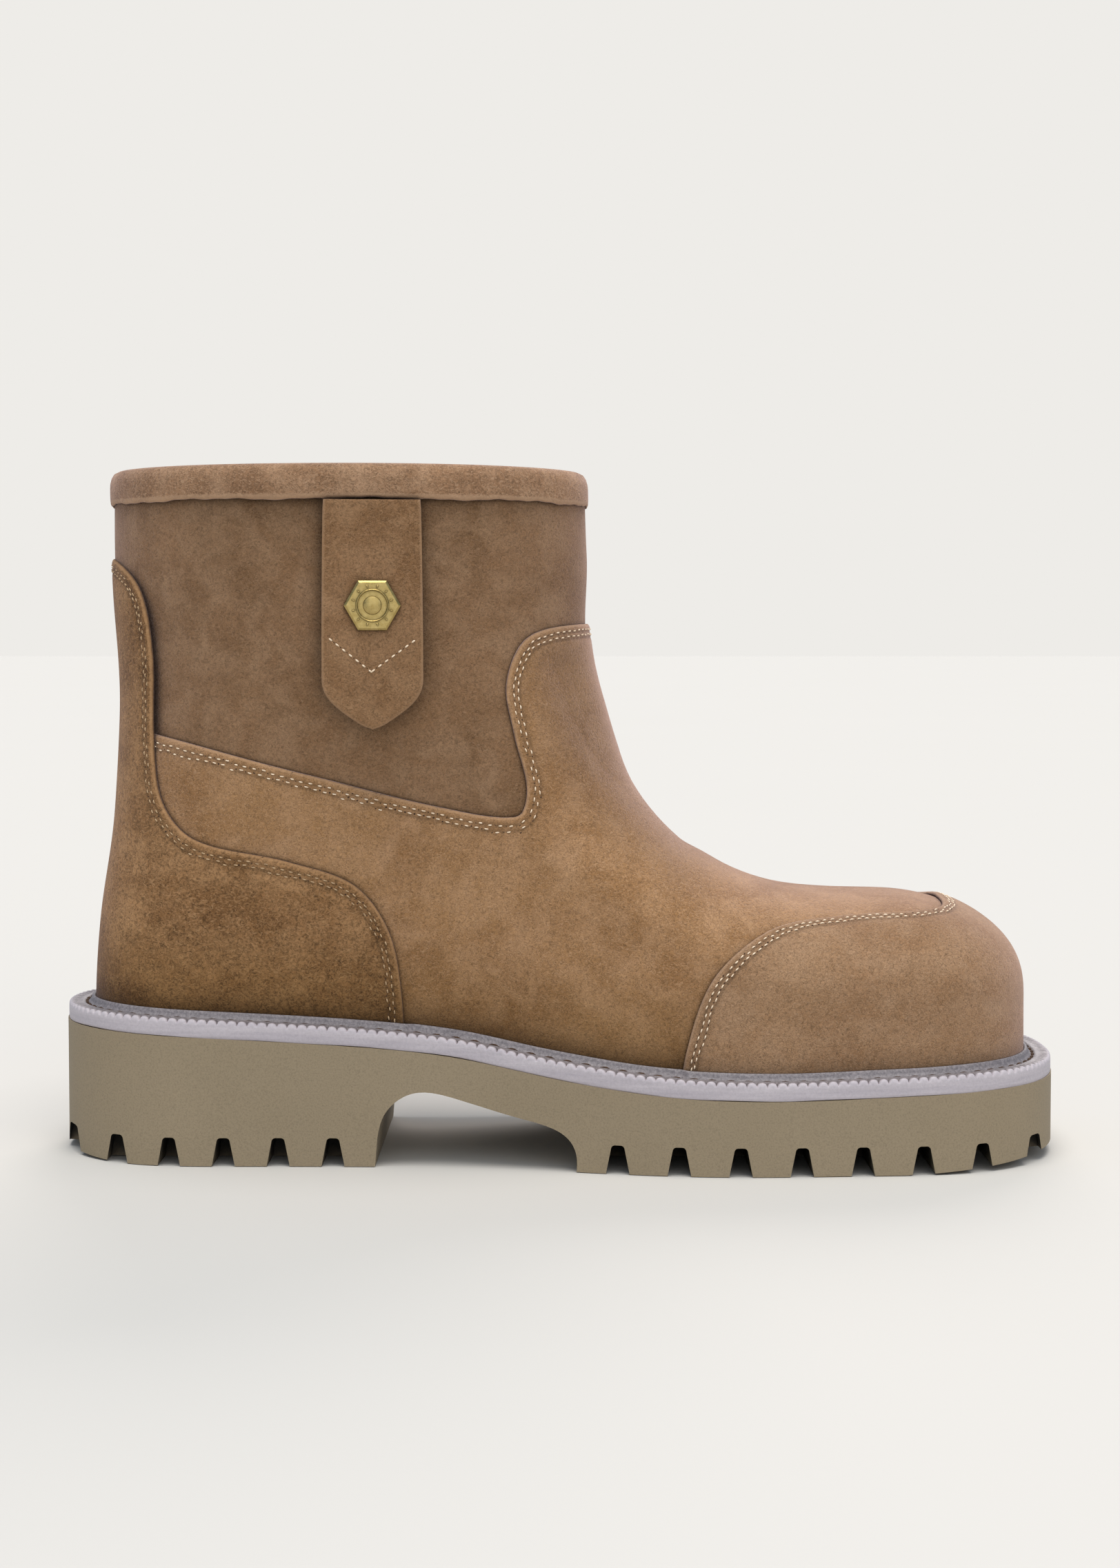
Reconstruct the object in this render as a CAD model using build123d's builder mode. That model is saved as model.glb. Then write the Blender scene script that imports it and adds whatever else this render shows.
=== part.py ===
from build123d import *
import math
import os

os.makedirs("parts", exist_ok=True)

# A right-foot pull-on work boot with a steel toe cap, in millimetres. X runs from heel to toe,
# -Y is the outer side of the foot, +Z is up, and the origin is under the middle of the sole.

# ---- driving dimensions ------------------------------------------------------------------
TOE_X = 145.1               # front of the vamp leather
SOLE_MARGIN = 9.9           # how far the sole stands out past the vamp leather
BOOT_TOP = 211.2            # top of the collar band
LAYER_TOP = 209.4           # top edge of the leathers inside the band
BAND_BOTTOM = 200.6         # lower raw edge of the collar band
SIDE_SHIFT = -0.95          # puts the middle of the sole at Y = 0
TOE_SHIFT = 3.0             # how far the toe swings to the inner side
TOE_ROUND = 44.0            # plan rounding of the toe
REACH = 90                  # half length of a cutter that runs across the boot

# leather layers, as depths below the outer face of the vamp
OVERLAY = (-1.7, -0.1)      # toe cap cover, backstay, collar band
VAMP = (0.05, 1.5)
SHAFT = (1.65, 3.1)
STIFFENER = (1.65, 3.3)     # heel stiffener and steel toe cap
LINING = (3.45, 4.6)
BAND_INSIDE = (4.75, 6.0)   # the part of the collar band that is turned inside
PLATE_DEPTH = 5.3           # plan depth of the insole board and the footbed
FLANGE_DEPTH = 13.0         # inner edge of the steel cap's flange

# sole stack
WELT_THICK = 2.7
MIDSOLE_THICK = 2.7
BOARD_THICK = 2.4
FOOTBED_THICK = 5.0
FLANGE_THICK = 1.7
GAP = 0.1                   # clearance between stacked pieces
RAND_HIGH = 1.8             # lip of the welt that stands against the upper
RAND_THICK = 1.6
LUG_DEPTH = 8.6
LUG_REACH = 27.0            # where a tread groove ends, from the middle of the sole
END_REACH = 8.0             # the same for the groove at the back of the heel
GROOVE_TOP = 3.6            # width of a groove at its root
GROOVE_FLARE = 3.8          # how much wider it is at the ground

# side view curves of the vamp's outer face, as (x, z)
FRONT = [(165, 75.2), (140, 76.6), (112, 79.4), (84, 80.6), (66, 83.2), (50, 89.8), (35, 101.6),
         (24, 116), (15.8, 136), (10.6, 156), (8.4, 180), (7.0, 220)]
BACK = [(-80, -144.8), (46, -144.8), (72, -143.1), (106, -138.2), (138, -136.5), (176, -138.2), (220, -138.9)]
# how round the section is behind the front line and in front of the back line, by height
FRONT_ROUND = [(76, 28), (82, 30), (105, 44), (135, 60), (175, 73), (220, 73)]
BACK_ROUND = [(-60, 70), (20, 38), (70, 37), (100, 46), (130, 58), (175, 73), (220, 73)]
# half widths of the foot on each side by x, and of the shaft by height
OUTER_HALF = [(-160, 32), (-60, 32.5), (-25, 35), (5, 40.5), (35, 47), (62, 48.8), (100, 48), (160, 46)]
INNER_HALF = [(-160, 32), (-60, 31.5), (-25, 31.5), (5, 36), (35, 43.5), (65, 48.4), (100, 48), (160, 46)]
SHAFT_HALF = [(60, 38), (95, 39.5), (130, 43.5), (165, 48), (190, 49.6), (220, 50)]
# top face of the welt along the boot
WELT_LINE = [(-175, 46.2), (-140, 45.6), (-100, 43.9), (-60, 41.6), (-32, 38.8), (-2, 33.2), (28, 29.2),
             (64, 27.7), (100, 28.7), (130, 29.7), (175, 30.0)]

# panel edges in the side view
VAMP_EDGE = [(60, 168), (9.4, 164.2), (-8.5, 159.8), (-15.3, 146), (-13, 130), (-9.3, 114), (-12.5, 105.6),
             (-37, 108.5), (-75, 118), (-124, 130.2), (-175, 138)]
BACKSTAY_EDGE = [(-160, 186.5), (-140.9, 184.8), (-129, 175), (-124.6, 156), (-124.3, 130), (-121.5, 110),
                 (-111, 98.5), (-81.4, 91.5), (-62, 84.5), (-51.7, 70.3), (-47.9, 50.3), (-47, 25)]
TOE_EDGE = [(36, 15), (38, 35), (46.5, 58), (63, 71.7), (86.7, 75.9), (112, 76.6), (121.3, 79), (119, 95)]
HEEL_STIFFENER_EDGE = [(-160, 97), (-128, 95), (-98, 82), (-82, 62), (-78, 25)]
STEEL_EDGE = [(82, 15), (86, 45), (97, 72), (104, 95)]

# pull tab
TAB_X = -55.3
TAB_HALF_WIDTH = 15.0
TAB_TOP = 200.2
TAB_LONG = 67.9
TAB_POINT = 13.5            # height of the pointed end
TAB_LEATHER = 1.7
TAB_STAND_OFF = 0.7         # from the shaft at the seam
BADGE_DROP = 31.2           # from the top of the tab to the middle of the badge
BADGE_FLATS = 14.6
BADGE_THICK = 1.7
BADGE_RING = 9.2
POST_DIAMETER = 3.2
WASHER_DIAMETER = 7.0
WASHER_THICK = 0.8


# ---- the shape of the upper --------------------------------------------------------------
def through(points, at):
    """The value at one place of a smooth curve through (place, value) points."""
    points = sorted(points)
    at = min(max(at, points[0][0]), points[-1][0])
    last = len(points) - 1
    i = max(k for k in range(last) if points[k][0] <= at)

    def slope(k):
        before, after = points[max(k - 1, 0)], points[min(k + 1, last)]
        return (after[1] - before[1]) / (after[0] - before[0])

    (x0, y0), (x1, y1) = points[i], points[i + 1]
    step = x1 - x0
    t = (at - x0) / step
    rise = t * t * (3 - 2 * t)
    return y0 + (y1 - y0) * rise + step * t * (1 - t) * (slope(i) * (1 - t) - slope(i + 1) * t)


def line_samples(points, count):
    """Evenly spaced points of the smooth line through the given points."""
    lengths = [0]
    for a, b in zip(points, points[1:]):
        lengths.append(lengths[-1] + math.dist(a, b))
    xs = [(s, p[0]) for s, p in zip(lengths, points)]
    zs = [(s, p[1]) for s, p in zip(lengths, points)]
    places = [lengths[-1] * k / count for k in range(count + 1)]
    return [(through(xs, s), through(zs, s)) for s in places]


FRONT_LINE = line_samples(FRONT, 80)


def behind_front(x, z):
    """How far a point is inside the front line; below zero outside."""
    best = (1e9, 1)
    for (ax, az), (bx, bz) in zip(FRONT_LINE, FRONT_LINE[1:]):
        ux, uz = bx - ax, bz - az
        t = min(max(((x - ax) * ux + (z - az) * uz) / (ux * ux + uz * uz), 0), 1)
        away = math.hypot(x - ax - t * ux, z - az - t * uz)
        best = min(best, (away, 1 if ux * (z - az) - uz * (x - ax) > 0 else -1))
    return best[0] * best[1]


def ease(start, end, x):
    t = min(max((x - start) / (end - start), 0), 1)
    return t * t * (3 - 2 * t)


def middle(x):
    """Y of the middle of the boot, which swings to the inner side at the toe."""
    return SIDE_SHIFT + TOE_SHIFT * ease(30, 140, x)


def half_width(x, z, side, depth, on_ground=False):
    """Half width of the upper at one place of the side view, at a depth under its outer face."""
    front = 999 if on_ground else behind_front(x, z)
    power = 2.1 + 0.35 * ease(40, 95, x)
    front_round = through(FRONT_ROUND, z)
    back_round = through(BACK_ROUND, z)
    closings = [
        1 - (front - depth) / (front_round - depth),
        1 - (x - through(BACK, z) - depth) / (back_round - depth),
        1 - (TOE_X - depth - x) / (TOE_ROUND - depth),
        0 if on_ground else 1 - (z + 80 - depth) / (78 - depth),
    ]
    core = 1 - sum(max(c, 0) ** power for c in closings)
    foot = through(OUTER_HALF if side < 0 else INNER_HALF, x)
    wide = foot + (through(SHAFT_HALF, z) - foot) * ease(48, 135, z)
    return (wide - depth) * max(core, 0) ** (1 / power)


# Sections fan out about one point above the instep: level in the shaft, upright in the toe.
FAN = (75, 165)


def stations(depth):
    """Start and direction in the side view of each section line."""
    level = [((FAN[0], z), (-1, 0)) for z in (218, 204, 190, 177)]
    turns = [math.radians(180 + 90 * k / 12) for k in range(13)]
    turning = [(FAN, (math.cos(a), math.sin(a))) for a in turns]
    end = TOE_X - depth - 0.6
    run = end - FAN[0]
    upright = [((FAN[0] + run * math.sin(math.radians(a)), FAN[1]), (0, -1)) for a in (14, 28, 41, 52, 62, 71, 79, 90)]
    return level + turning + upright


def span(start, way, depth):
    """Where a section line enters and leaves the form."""
    def inside(t):
        x, z = start[0] + way[0] * t, start[1] + way[1] * t
        return half_width(x, z, -1, depth) > 0

    steps = [4.0 * k for k in range(80)]
    hits = [t for t in steps if inside(t)]
    ends = []
    for inner, outer in ((hits[0], hits[0] - 4), (hits[-1], hits[-1] + 4)):
        for _ in range(14):
            mid = (inner + outer) / 2
            inner, outer = (mid, outer) if inside(mid) else (inner, mid)
        ends.append(inner)
    return ends


SIDE_POINTS = 14            # spans of each half of a section


def section_half(start, way, depth, side):
    """Points of one side of a section, from the front line to the back."""
    near, far = span(start, way, depth)
    points = []
    for k in range(SIDE_POINTS + 1):
        t = near + (far - near) * (1 - math.cos(math.pi * k / SIDE_POINTS)) / 2
        x, z = start[0] + way[0] * t, start[1] + way[1] * t
        wide = 0 if k in (0, SIDE_POINTS) else half_width(x, z, side, depth)
        points.append(Vector(x, middle(x) + side * wide, z))
    return points


def section_wire(start, way, depth):
    """One closed section of the form."""
    knots = [k / SIDE_POINTS for k in range(SIDE_POINTS + 1)]
    outer = section_half(start, way, depth, -1)
    inner = section_half(start, way, depth, 1)[::-1]
    outer_edge = Edge.make_spline(outer, parameters=knots)
    inner_edge = Edge.make_spline(inner, parameters=knots)
    return Wire([outer_edge, inner_edge])


def form(depth):
    """The closed solid inside the upper's face at one depth, longer than the boot at both ends."""
    with BuildPart() as body:
        for start, way in stations(depth):
            add(Face(section_wire(start, way, depth)))
        loft()
    return body.part


def shell(layer):
    """The upper's wall between two depths."""
    return form(layer[0]) - form(layer[1])


# ---- cutters seen from the side ----------------------------------------------------------
def across(*edges_and_corners):
    """A solid across the whole boot whose side view is closed by splines and straight lines.

    Each argument is a list of (x, z) points: two points are a straight line, more are a curve."""
    with BuildPart() as cutter:
        with BuildSketch(Plane.XZ):
            with BuildLine():
                for run in edges_and_corners:
                    if len(run) == 2:
                        Line(*run)
                    else:
                        Spline(*run)
            make_face()
        extrude(amount=REACH, both=True)
    return cutter.part


def lifted(points, dx, dz):
    return [(x + dx, z + dz) for x, z in points]


def above(curve, top=260):
    """Everything above a curve that runs along the boot."""
    first, last = curve[0], curve[-1]
    corners = [last, (last[0], top), (first[0], top), first]
    return across(curve, *[[a, b] for a, b in zip(corners, corners[1:])])


def band(low, high):
    """What lies between two heights over the welt line."""
    lower, upper = lifted(WELT_LINE, 0, low), lifted(WELT_LINE, 0, high)
    return across(lower, [lower[-1], upper[-1]], upper[::-1], [upper[0], lower[0]])


def upper_room():
    """The space over the welt and below the top of the leathers."""
    low = lifted(WELT_LINE, 0, GAP)
    return above(low, LAYER_TOP)


# ---- plates seen from above --------------------------------------------------------------
OUTLINE_SPANS = 20


def outline(depth):
    """Plan outline of the upper at one depth, or of the sole at a negative depth."""
    back = through(BACK, 0) + depth
    front = TOE_X - depth
    sides = {}
    for side in (-1, 1):
        points = []
        for k in range(OUTLINE_SPANS + 1):
            x = back + (front - back) * (1 - math.cos(math.pi * k / OUTLINE_SPANS)) / 2
            wide = 0 if k in (0, OUTLINE_SPANS) else half_width(x, 40, side, depth, on_ground=True)
            points.append(Vector(x, middle(x) + side * wide, 0))
        sides[side] = points
    knots = [k / OUTLINE_SPANS for k in range(OUTLINE_SPANS + 1)]
    outer = Edge.make_spline(sides[-1], parameters=knots)
    inner = Edge.make_spline(sides[1][::-1], parameters=knots)
    return Wire([outer, inner])


def column(depth, hole_depth=None, top=70):
    """The plan outline at one depth stood up as a solid, with a hole if a second depth is given."""
    with BuildPart() as block:
        with BuildSketch():
            add(Face(outline(depth)))
            if hole_depth is not None:
                add(Face(outline(hole_depth)), mode=Mode.SUBTRACT)
        extrude(amount=top)
    return block.part


def slab(depth, low, high, hole_depth=None):
    """A plate, or a ring, between two heights over the welt line."""
    return column(depth, hole_depth) & band(low, high)


def save(piece, name):
    piece.part.label = name
    export_step(piece.part, f"parts/{name}.step")


ROOM = upper_room()


# ---- sole --------------------------------------------------------------------------------
HEEL_GROOVES = [-151.2 + 16.6 * k for k in range(6)]
FORE_GROOVES = [17.6 + 18.2 * k for k in range(8)]
ARCH = [(-56.2, -5), (-55, 6), (-52.5, 16), (-44, 22.3), (-32, 21.2), (-12, 15.6), (1.5, 11), (4.2, -5)]
TOE_SPRING = [(98, -0.1), (116, 0.6), (136, 2.0), (160, 4.3)]
HEEL_SPRING = [(-128, -0.1), (-138, 0.3), (-148, 1.0), (-160, 2.1)]
BELOW_WELT = WELT_THICK + MIDSOLE_THICK
SHANK = (-98, 6, 15)        # back end, front end, width


def groove(x, side, reach):
    """One tread groove, from the side of the sole inwards."""
    low, high = (GROOVE_TOP + GROOVE_FLARE) / 2, GROOVE_TOP / 2
    near, far = sorted((side * reach, side * REACH))
    with BuildPart() as cut:
        with BuildSketch(Plane.XZ.offset(-far)):
            with BuildLine():
                Polyline((x - low, -1), (x - high, LUG_DEPTH), (x + high, LUG_DEPTH), (x + low, -1), close=True)
            make_face()
            fillet(vertices().group_by(Axis.Z)[-1], 1.2)
        extrude(amount=far - near)
    return cut.part


with BuildPart() as outsole:
    add(column(-SOLE_MARGIN - 0.3))
    add(above(lifted(WELT_LINE, 0, -BELOW_WELT)), mode=Mode.SUBTRACT)
    add(across(ARCH, [ARCH[-1], ARCH[0]]), mode=Mode.SUBTRACT)
    for spring in (TOE_SPRING, HEEL_SPRING):
        first, last = spring[0], spring[-1]
        corners = [last, (last[0], -5), (first[0], -5), first]
        add(across(spring, *[[a, b] for a, b in zip(corners, corners[1:])]), mode=Mode.SUBTRACT)
    for groove_x in HEEL_GROOVES + FORE_GROOVES:
        groove_reach = END_REACH if groove_x == HEEL_GROOVES[0] else LUG_REACH
        for groove_side in (-1, 1):
            add(groove(groove_x, groove_side, groove_reach), mode=Mode.SUBTRACT)
save(outsole, "outsole")

with BuildPart() as midsole:
    add(slab(-SOLE_MARGIN, GAP - BELOW_WELT, -WELT_THICK))
save(midsole, "midsole")

RAND_INSIDE = OVERLAY[0] - 0.15
with BuildPart() as storm_welt:
    add(slab(-SOLE_MARGIN, GAP - WELT_THICK, 0, VAMP[1]))
    add(slab(RAND_INSIDE - RAND_THICK, -GAP, RAND_HIGH, RAND_INSIDE))
save(storm_welt, "storm_welt")

with BuildPart() as shank_strip:
    with BuildSketch():
        with Locations(((SHANK[0] + SHANK[1]) / 2, middle(0))):
            SlotOverall(SHANK[1] - SHANK[0], SHANK[2])
    extrude(amount=60)

with BuildPart() as steel_shank:
    add(shank_strip.part & band(0.3 - WELT_THICK, -0.6))
    with Locations(*[Pos(x, middle(0), 60) for x in (SHANK[0] + 12, SHANK[1] - 12)]):
        Hole(2.0)
save(steel_shank, "steel_shank")


# ---- stiff pieces inside the upper -------------------------------------------------------
def steel_side(shift=0.0):
    """Everything in front of the steel cap's rear edge."""
    edge = lifted(STEEL_EDGE, shift, 0)
    low, high = edge[0], edge[-1]
    return across(edge, [high, (190, high[1])], [(190, high[1]), (190, low[1])], [(190, low[1]), low])


with BuildPart() as steel_toe_cap:
    wall_foot, wall_middle = 0.7 * FLANGE_THICK, sum(STIFFENER) / 2
    add(shell(STIFFENER) & steel_side() & above(lifted(WELT_LINE, 0, -wall_foot), 120))
    add(slab(wall_middle, -FLANGE_THICK, 0, FLANGE_DEPTH) & steel_side(0.5))
save(steel_toe_cap, "steel_toe_cap")

with BuildPart() as cork_filler:
    add(slab(STIFFENER[0], GAP - WELT_THICK, 0))
    add(shank_strip.part, mode=Mode.SUBTRACT)
    flange_room = slab(VAMP[0], -FLANGE_THICK - GAP, 1, FLANGE_DEPTH + GAP)
    add(flange_room & steel_side(-0.2), mode=Mode.SUBTRACT)
save(cork_filler, "cork_filler")

BUMPER_WIDE = 7.0
with BuildPart() as toe_cap_bumper:
    add((shell(STIFFENER) & steel_side(-BUMPER_WIDE) & ROOM) - steel_side(-GAP))
save(toe_cap_bumper, "toe_cap_bumper")

with BuildPart() as heel_stiffener:
    stiff_low, stiff_high = HEEL_STIFFENER_EDGE[-1], HEEL_STIFFENER_EDGE[0]
    behind = (-175, stiff_low[1])
    add(shell(STIFFENER) & ROOM)
    add(
        across(HEEL_STIFFENER_EDGE, [stiff_low, behind], [behind, (-175, stiff_high[1])],
               [(-175, stiff_high[1]), stiff_high]),
        mode=Mode.INTERSECT,
    )
save(heel_stiffener, "heel_stiffener")

with BuildPart() as insole_board:
    add(slab(PLATE_DEPTH, GAP, BOARD_THICK))
save(insole_board, "insole_board")

with BuildPart() as footbed:
    add(slab(PLATE_DEPTH, BOARD_THICK + GAP, BOARD_THICK + FOOTBED_THICK))
save(footbed, "footbed")


# ---- linings and leathers ----------------------------------------------------------------
LINING_SEAM = 104
lining_wall = shell(LINING) & ROOM

with BuildPart() as foot_lining:
    add(lining_wall)
    split(bisect_by=Plane.XY.offset(LINING_SEAM), keep=Keep.BOTTOM)
save(foot_lining, "foot_lining")

with BuildPart() as shaft_lining:
    add(lining_wall)
    split(bisect_by=Plane.XY.offset(LINING_SEAM + GAP), keep=Keep.TOP)
save(shaft_lining, "shaft_lining")

SEAM_ALLOWANCE = (6, -9)    # how far the shaft runs on under the vamp
with BuildPart() as shaft:
    add(shell(SHAFT) & ROOM & above(lifted(VAMP_EDGE, *SEAM_ALLOWANCE)))
save(shaft, "shaft")

with BuildPart() as vamp:
    add(shell(VAMP) & ROOM)
    add(above(VAMP_EDGE), mode=Mode.SUBTRACT)
save(vamp, "vamp")

overlay_wall = shell(OVERLAY) & ROOM

with BuildPart() as toe_cap_cover:
    toe_low, toe_high = TOE_EDGE[0], TOE_EDGE[-1]
    add(overlay_wall)
    add(
        across(TOE_EDGE, [toe_high, (190, toe_high[1])], [(190, toe_high[1]), (190, toe_low[1])],
               [(190, toe_low[1]), toe_low]),
        mode=Mode.INTERSECT,
    )
save(toe_cap_cover, "toe_cap_cover")

with BuildPart() as backstay:
    stay_low, stay_high = BACKSTAY_EDGE[-1], BACKSTAY_EDGE[0]
    add(overlay_wall)
    add(
        across(BACKSTAY_EDGE, [stay_low, (-175, stay_low[1])], [(-175, stay_low[1]), (-175, stay_high[1])],
               [(-175, stay_high[1]), stay_high]),
        mode=Mode.INTERSECT,
    )
save(backstay, "backstay")


def collar_ring(depth, hole_depth, low, high):
    """An upright ring round the top of the shaft."""
    start, way = (FAN[0], (BAND_BOTTOM + BOOT_TOP) / 2), (-1, 0)
    drop = Location((0, 0, -start[1]))
    with BuildPart() as ring:
        with BuildSketch(Plane.XY.offset(low)):
            add(Face(section_wire(start, way, depth)).moved(drop))
            add(Face(section_wire(start, way, hole_depth)).moved(drop), mode=Mode.SUBTRACT)
        extrude(amount=high - low)
    return ring.part


with BuildPart() as collar_band:
    add(collar_ring(OVERLAY[0], OVERLAY[1], BAND_BOTTOM, BOOT_TOP))
    add(collar_ring(BAND_INSIDE[0], BAND_INSIDE[1], BAND_BOTTOM, BOOT_TOP))
    add(collar_ring(OVERLAY[0], BAND_INSIDE[1], LAYER_TOP + GAP, BOOT_TOP))
save(collar_band, "collar_band")


# ---- pull tab ----------------------------------------------------------------------------
def shaft_face(x, z):
    """Y of the shaft leather's outer face on the outer side of the foot."""
    return middle(x) - half_width(x, z, -1, SHAFT[0])


tab_back, tab_front = TAB_X - TAB_HALF_WIDTH, TAB_X + TAB_HALF_WIDTH
tab_turn = math.atan2(shaft_face(tab_front, TAB_TOP) - shaft_face(tab_back, TAB_TOP), 2 * TAB_HALF_WIDTH)
tab_along = (math.cos(tab_turn), math.sin(tab_turn), 0)
tab_out = (math.sin(tab_turn), -math.cos(tab_turn), 0)
tab_seat = (TAB_X, shaft_face(TAB_X, TAB_TOP) - TAB_STAND_OFF, TAB_TOP)
TAB_FACE = Plane(tab_seat, x_dir=tab_along, z_dir=tab_out)
TAB_THICK = 2 * TAB_LEATHER


def tab_leather(low, high, trim=0.0):
    """One leather of the tab between two heights over its back face."""
    wide, long = TAB_HALF_WIDTH - trim, TAB_LONG - trim
    straight = long - TAB_POINT
    with BuildPart() as leather:
        with BuildSketch(TAB_FACE.offset(low)):
            with BuildLine():
                Polyline((-wide, -straight), (-wide + 0.6, 0), (wide - 0.6, 0), (wide, -straight))
                Spline((wide, -straight), (wide * 0.62, -long + 5.2), (0, -long),
                       tangents=[(0, -1), (-1, 0)])
                Spline((0, -long), (-wide * 0.62, -long + 5.2), (-wide, -straight),
                       tangents=[(-1, 0), (0, 1)])
            make_face()
        extrude(amount=high - low)
        with BuildSketch(TAB_FACE.offset(low)):
            with Locations((0, -BADGE_DROP)):
                Circle(POST_DIAMETER / 2)
        extrude(amount=high - low, mode=Mode.SUBTRACT)
    return leather.part


with BuildPart() as tab_backing:
    add(tab_leather(0, TAB_LEATHER, 0.4))
save(tab_backing, "tab_backing")

with BuildPart() as tab_outer:
    add(tab_leather(TAB_LEATHER + 0.05, TAB_THICK))
save(tab_outer, "tab_outer")

badge_plane = TAB_FACE.offset(TAB_THICK + 0.05)
RELIEF = 0.4                # height of the ring, dome and ticks over the badge's face
TICKS = 12
with BuildPart() as badge:
    with BuildSketch(badge_plane):
        with Locations((0, -BADGE_DROP)):
            RegularPolygon(BADGE_FLATS / 2, 6, major_radius=False)
    extrude(amount=BADGE_THICK - RELIEF)
    chamfer(faces().sort_by(Axis(badge_plane.origin, badge_plane.z_dir))[-1].edges(), 0.4)
    with BuildSketch(badge_plane.offset(BADGE_THICK - RELIEF)):
        with Locations((0, -BADGE_DROP)):
            Circle(BADGE_RING / 2)
            Circle(BADGE_RING / 2 - 0.5, mode=Mode.SUBTRACT)
            Circle(2.6)
            with PolarLocations((BADGE_RING / 2 + BADGE_FLATS / 2) / 2, TICKS):
                Rectangle(1.0, 0.35)
    extrude(amount=RELIEF)
save(badge, "badge")

with BuildPart() as badge_post:
    with BuildSketch(TAB_FACE.offset(-WASHER_THICK - 0.05)):
        with Locations((0, -BADGE_DROP)):
            Circle(POST_DIAMETER / 2)
    extrude(amount=TAB_THICK + WASHER_THICK + 0.1)
save(badge_post, "badge_post")

with BuildPart() as badge_washer:
    with BuildSketch(TAB_FACE.offset(-WASHER_THICK - 0.05)):
        with Locations((0, -BADGE_DROP)):
            Circle(WASHER_DIAMETER / 2)
            Circle(POST_DIAMETER / 2, mode=Mode.SUBTRACT)
    extrude(amount=WASHER_THICK)
save(badge_washer, "badge_washer")
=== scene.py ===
import math

import bmesh
import bpy
import numpy as np
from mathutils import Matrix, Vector, kdtree
from mathutils.bvhtree import BVHTree


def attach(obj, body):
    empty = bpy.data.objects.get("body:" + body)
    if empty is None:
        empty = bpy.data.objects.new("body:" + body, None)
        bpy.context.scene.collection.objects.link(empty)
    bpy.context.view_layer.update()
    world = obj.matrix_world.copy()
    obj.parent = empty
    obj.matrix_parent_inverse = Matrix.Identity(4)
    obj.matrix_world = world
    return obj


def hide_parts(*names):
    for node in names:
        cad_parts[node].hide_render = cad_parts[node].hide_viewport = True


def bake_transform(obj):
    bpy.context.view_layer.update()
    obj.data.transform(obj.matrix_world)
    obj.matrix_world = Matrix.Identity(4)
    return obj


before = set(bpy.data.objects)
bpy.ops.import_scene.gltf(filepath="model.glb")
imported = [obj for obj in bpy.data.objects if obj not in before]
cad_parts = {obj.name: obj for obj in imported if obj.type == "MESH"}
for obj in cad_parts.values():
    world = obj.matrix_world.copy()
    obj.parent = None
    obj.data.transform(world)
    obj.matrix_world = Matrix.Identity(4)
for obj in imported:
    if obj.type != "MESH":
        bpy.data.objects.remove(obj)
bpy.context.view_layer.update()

# Lengths below are in millimetres until a mesh is made, and MM turns them into metres.
MM = 0.001
SCENE = bpy.context.scene.collection


# ---- the shape of the upper, with the same driving dimensions as the CAD model -----------
TOE_X = 145.1
TOE_ROUND = 44.0
SOLE_MARGIN = 9.9
SIDE_SHIFT, TOE_SHIFT = -0.95, 3.0
BOOT_TOP = 211.2
LAYER_TOP = 209.4
# side-view lines of the vamp's face: the front as (x, z), the back as (z, x)
FRONT = [(165, 75.2), (140, 76.6), (112, 79.4), (84, 80.6), (66, 83.2), (50, 89.8), (35, 101.6),
         (24, 116), (15.8, 136), (10.6, 156), (8.4, 180), (7.0, 220)]
BACK = [(-80, -144.8), (46, -144.8), (72, -143.1), (106, -138.2), (138, -136.5), (176, -138.2),
        (220, -138.9)]
# how round the section is behind the front line and in front of the back line, by height
FRONT_ROUND = [(76, 28), (82, 30), (105, 44), (135, 60), (175, 73), (220, 73)]
BACK_ROUND = [(-60, 70), (20, 38), (70, 37), (100, 46), (130, 58), (175, 73), (220, 73)]
# half widths of the foot on each side by x, and of the shaft by height
OUTER_HALF = [(-160, 32), (-60, 32.5), (-25, 35), (5, 40.5), (35, 47), (62, 48.8), (100, 48), (160, 46)]
INNER_HALF = [(-160, 32), (-60, 31.5), (-25, 31.5), (5, 36), (35, 43.5), (65, 48.4), (100, 48), (160, 46)]
SHAFT_HALF = [(60, 38), (95, 39.5), (130, 43.5), (165, 48), (190, 49.6), (220, 50)]
# top face of the welt by x
WELT_LINE = [(-175, 46.2), (-140, 45.6), (-100, 43.9), (-60, 41.6), (-32, 38.8), (-2, 33.2), (28, 29.2),
             (64, 27.7), (100, 28.7), (130, 29.7), (175, 30.0)]
# side-view cutting lines of the panels, as (x, z)
VAMP_EDGE = [(60, 168), (9.4, 164.2), (-8.5, 159.8), (-15.3, 146), (-13, 130), (-9.3, 114), (-12.5, 105.6),
             (-37, 108.5), (-75, 118), (-124, 130.2), (-175, 138)]
BACKSTAY_EDGE = [(-160, 186.5), (-140.9, 184.8), (-129, 175), (-124.6, 156), (-124.3, 130), (-121.5, 110),
                 (-111, 98.5), (-81.4, 91.5), (-62, 84.5), (-51.7, 70.3), (-47.9, 50.3), (-47, 25)]
TOE_EDGE = [(36, 15), (38, 35), (46.5, 58), (63, 71.7), (86.7, 75.9), (112, 76.6), (121.3, 79), (119, 95)]
FAN = (75, 165)  # the point over the instep that the sections of the upper fan out from
# side-view line of the fold in front of the ankle
ANKLE_FOLD = [(2, 150), (7, 136), (15, 123), (27, 110), (40, 99)]


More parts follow.
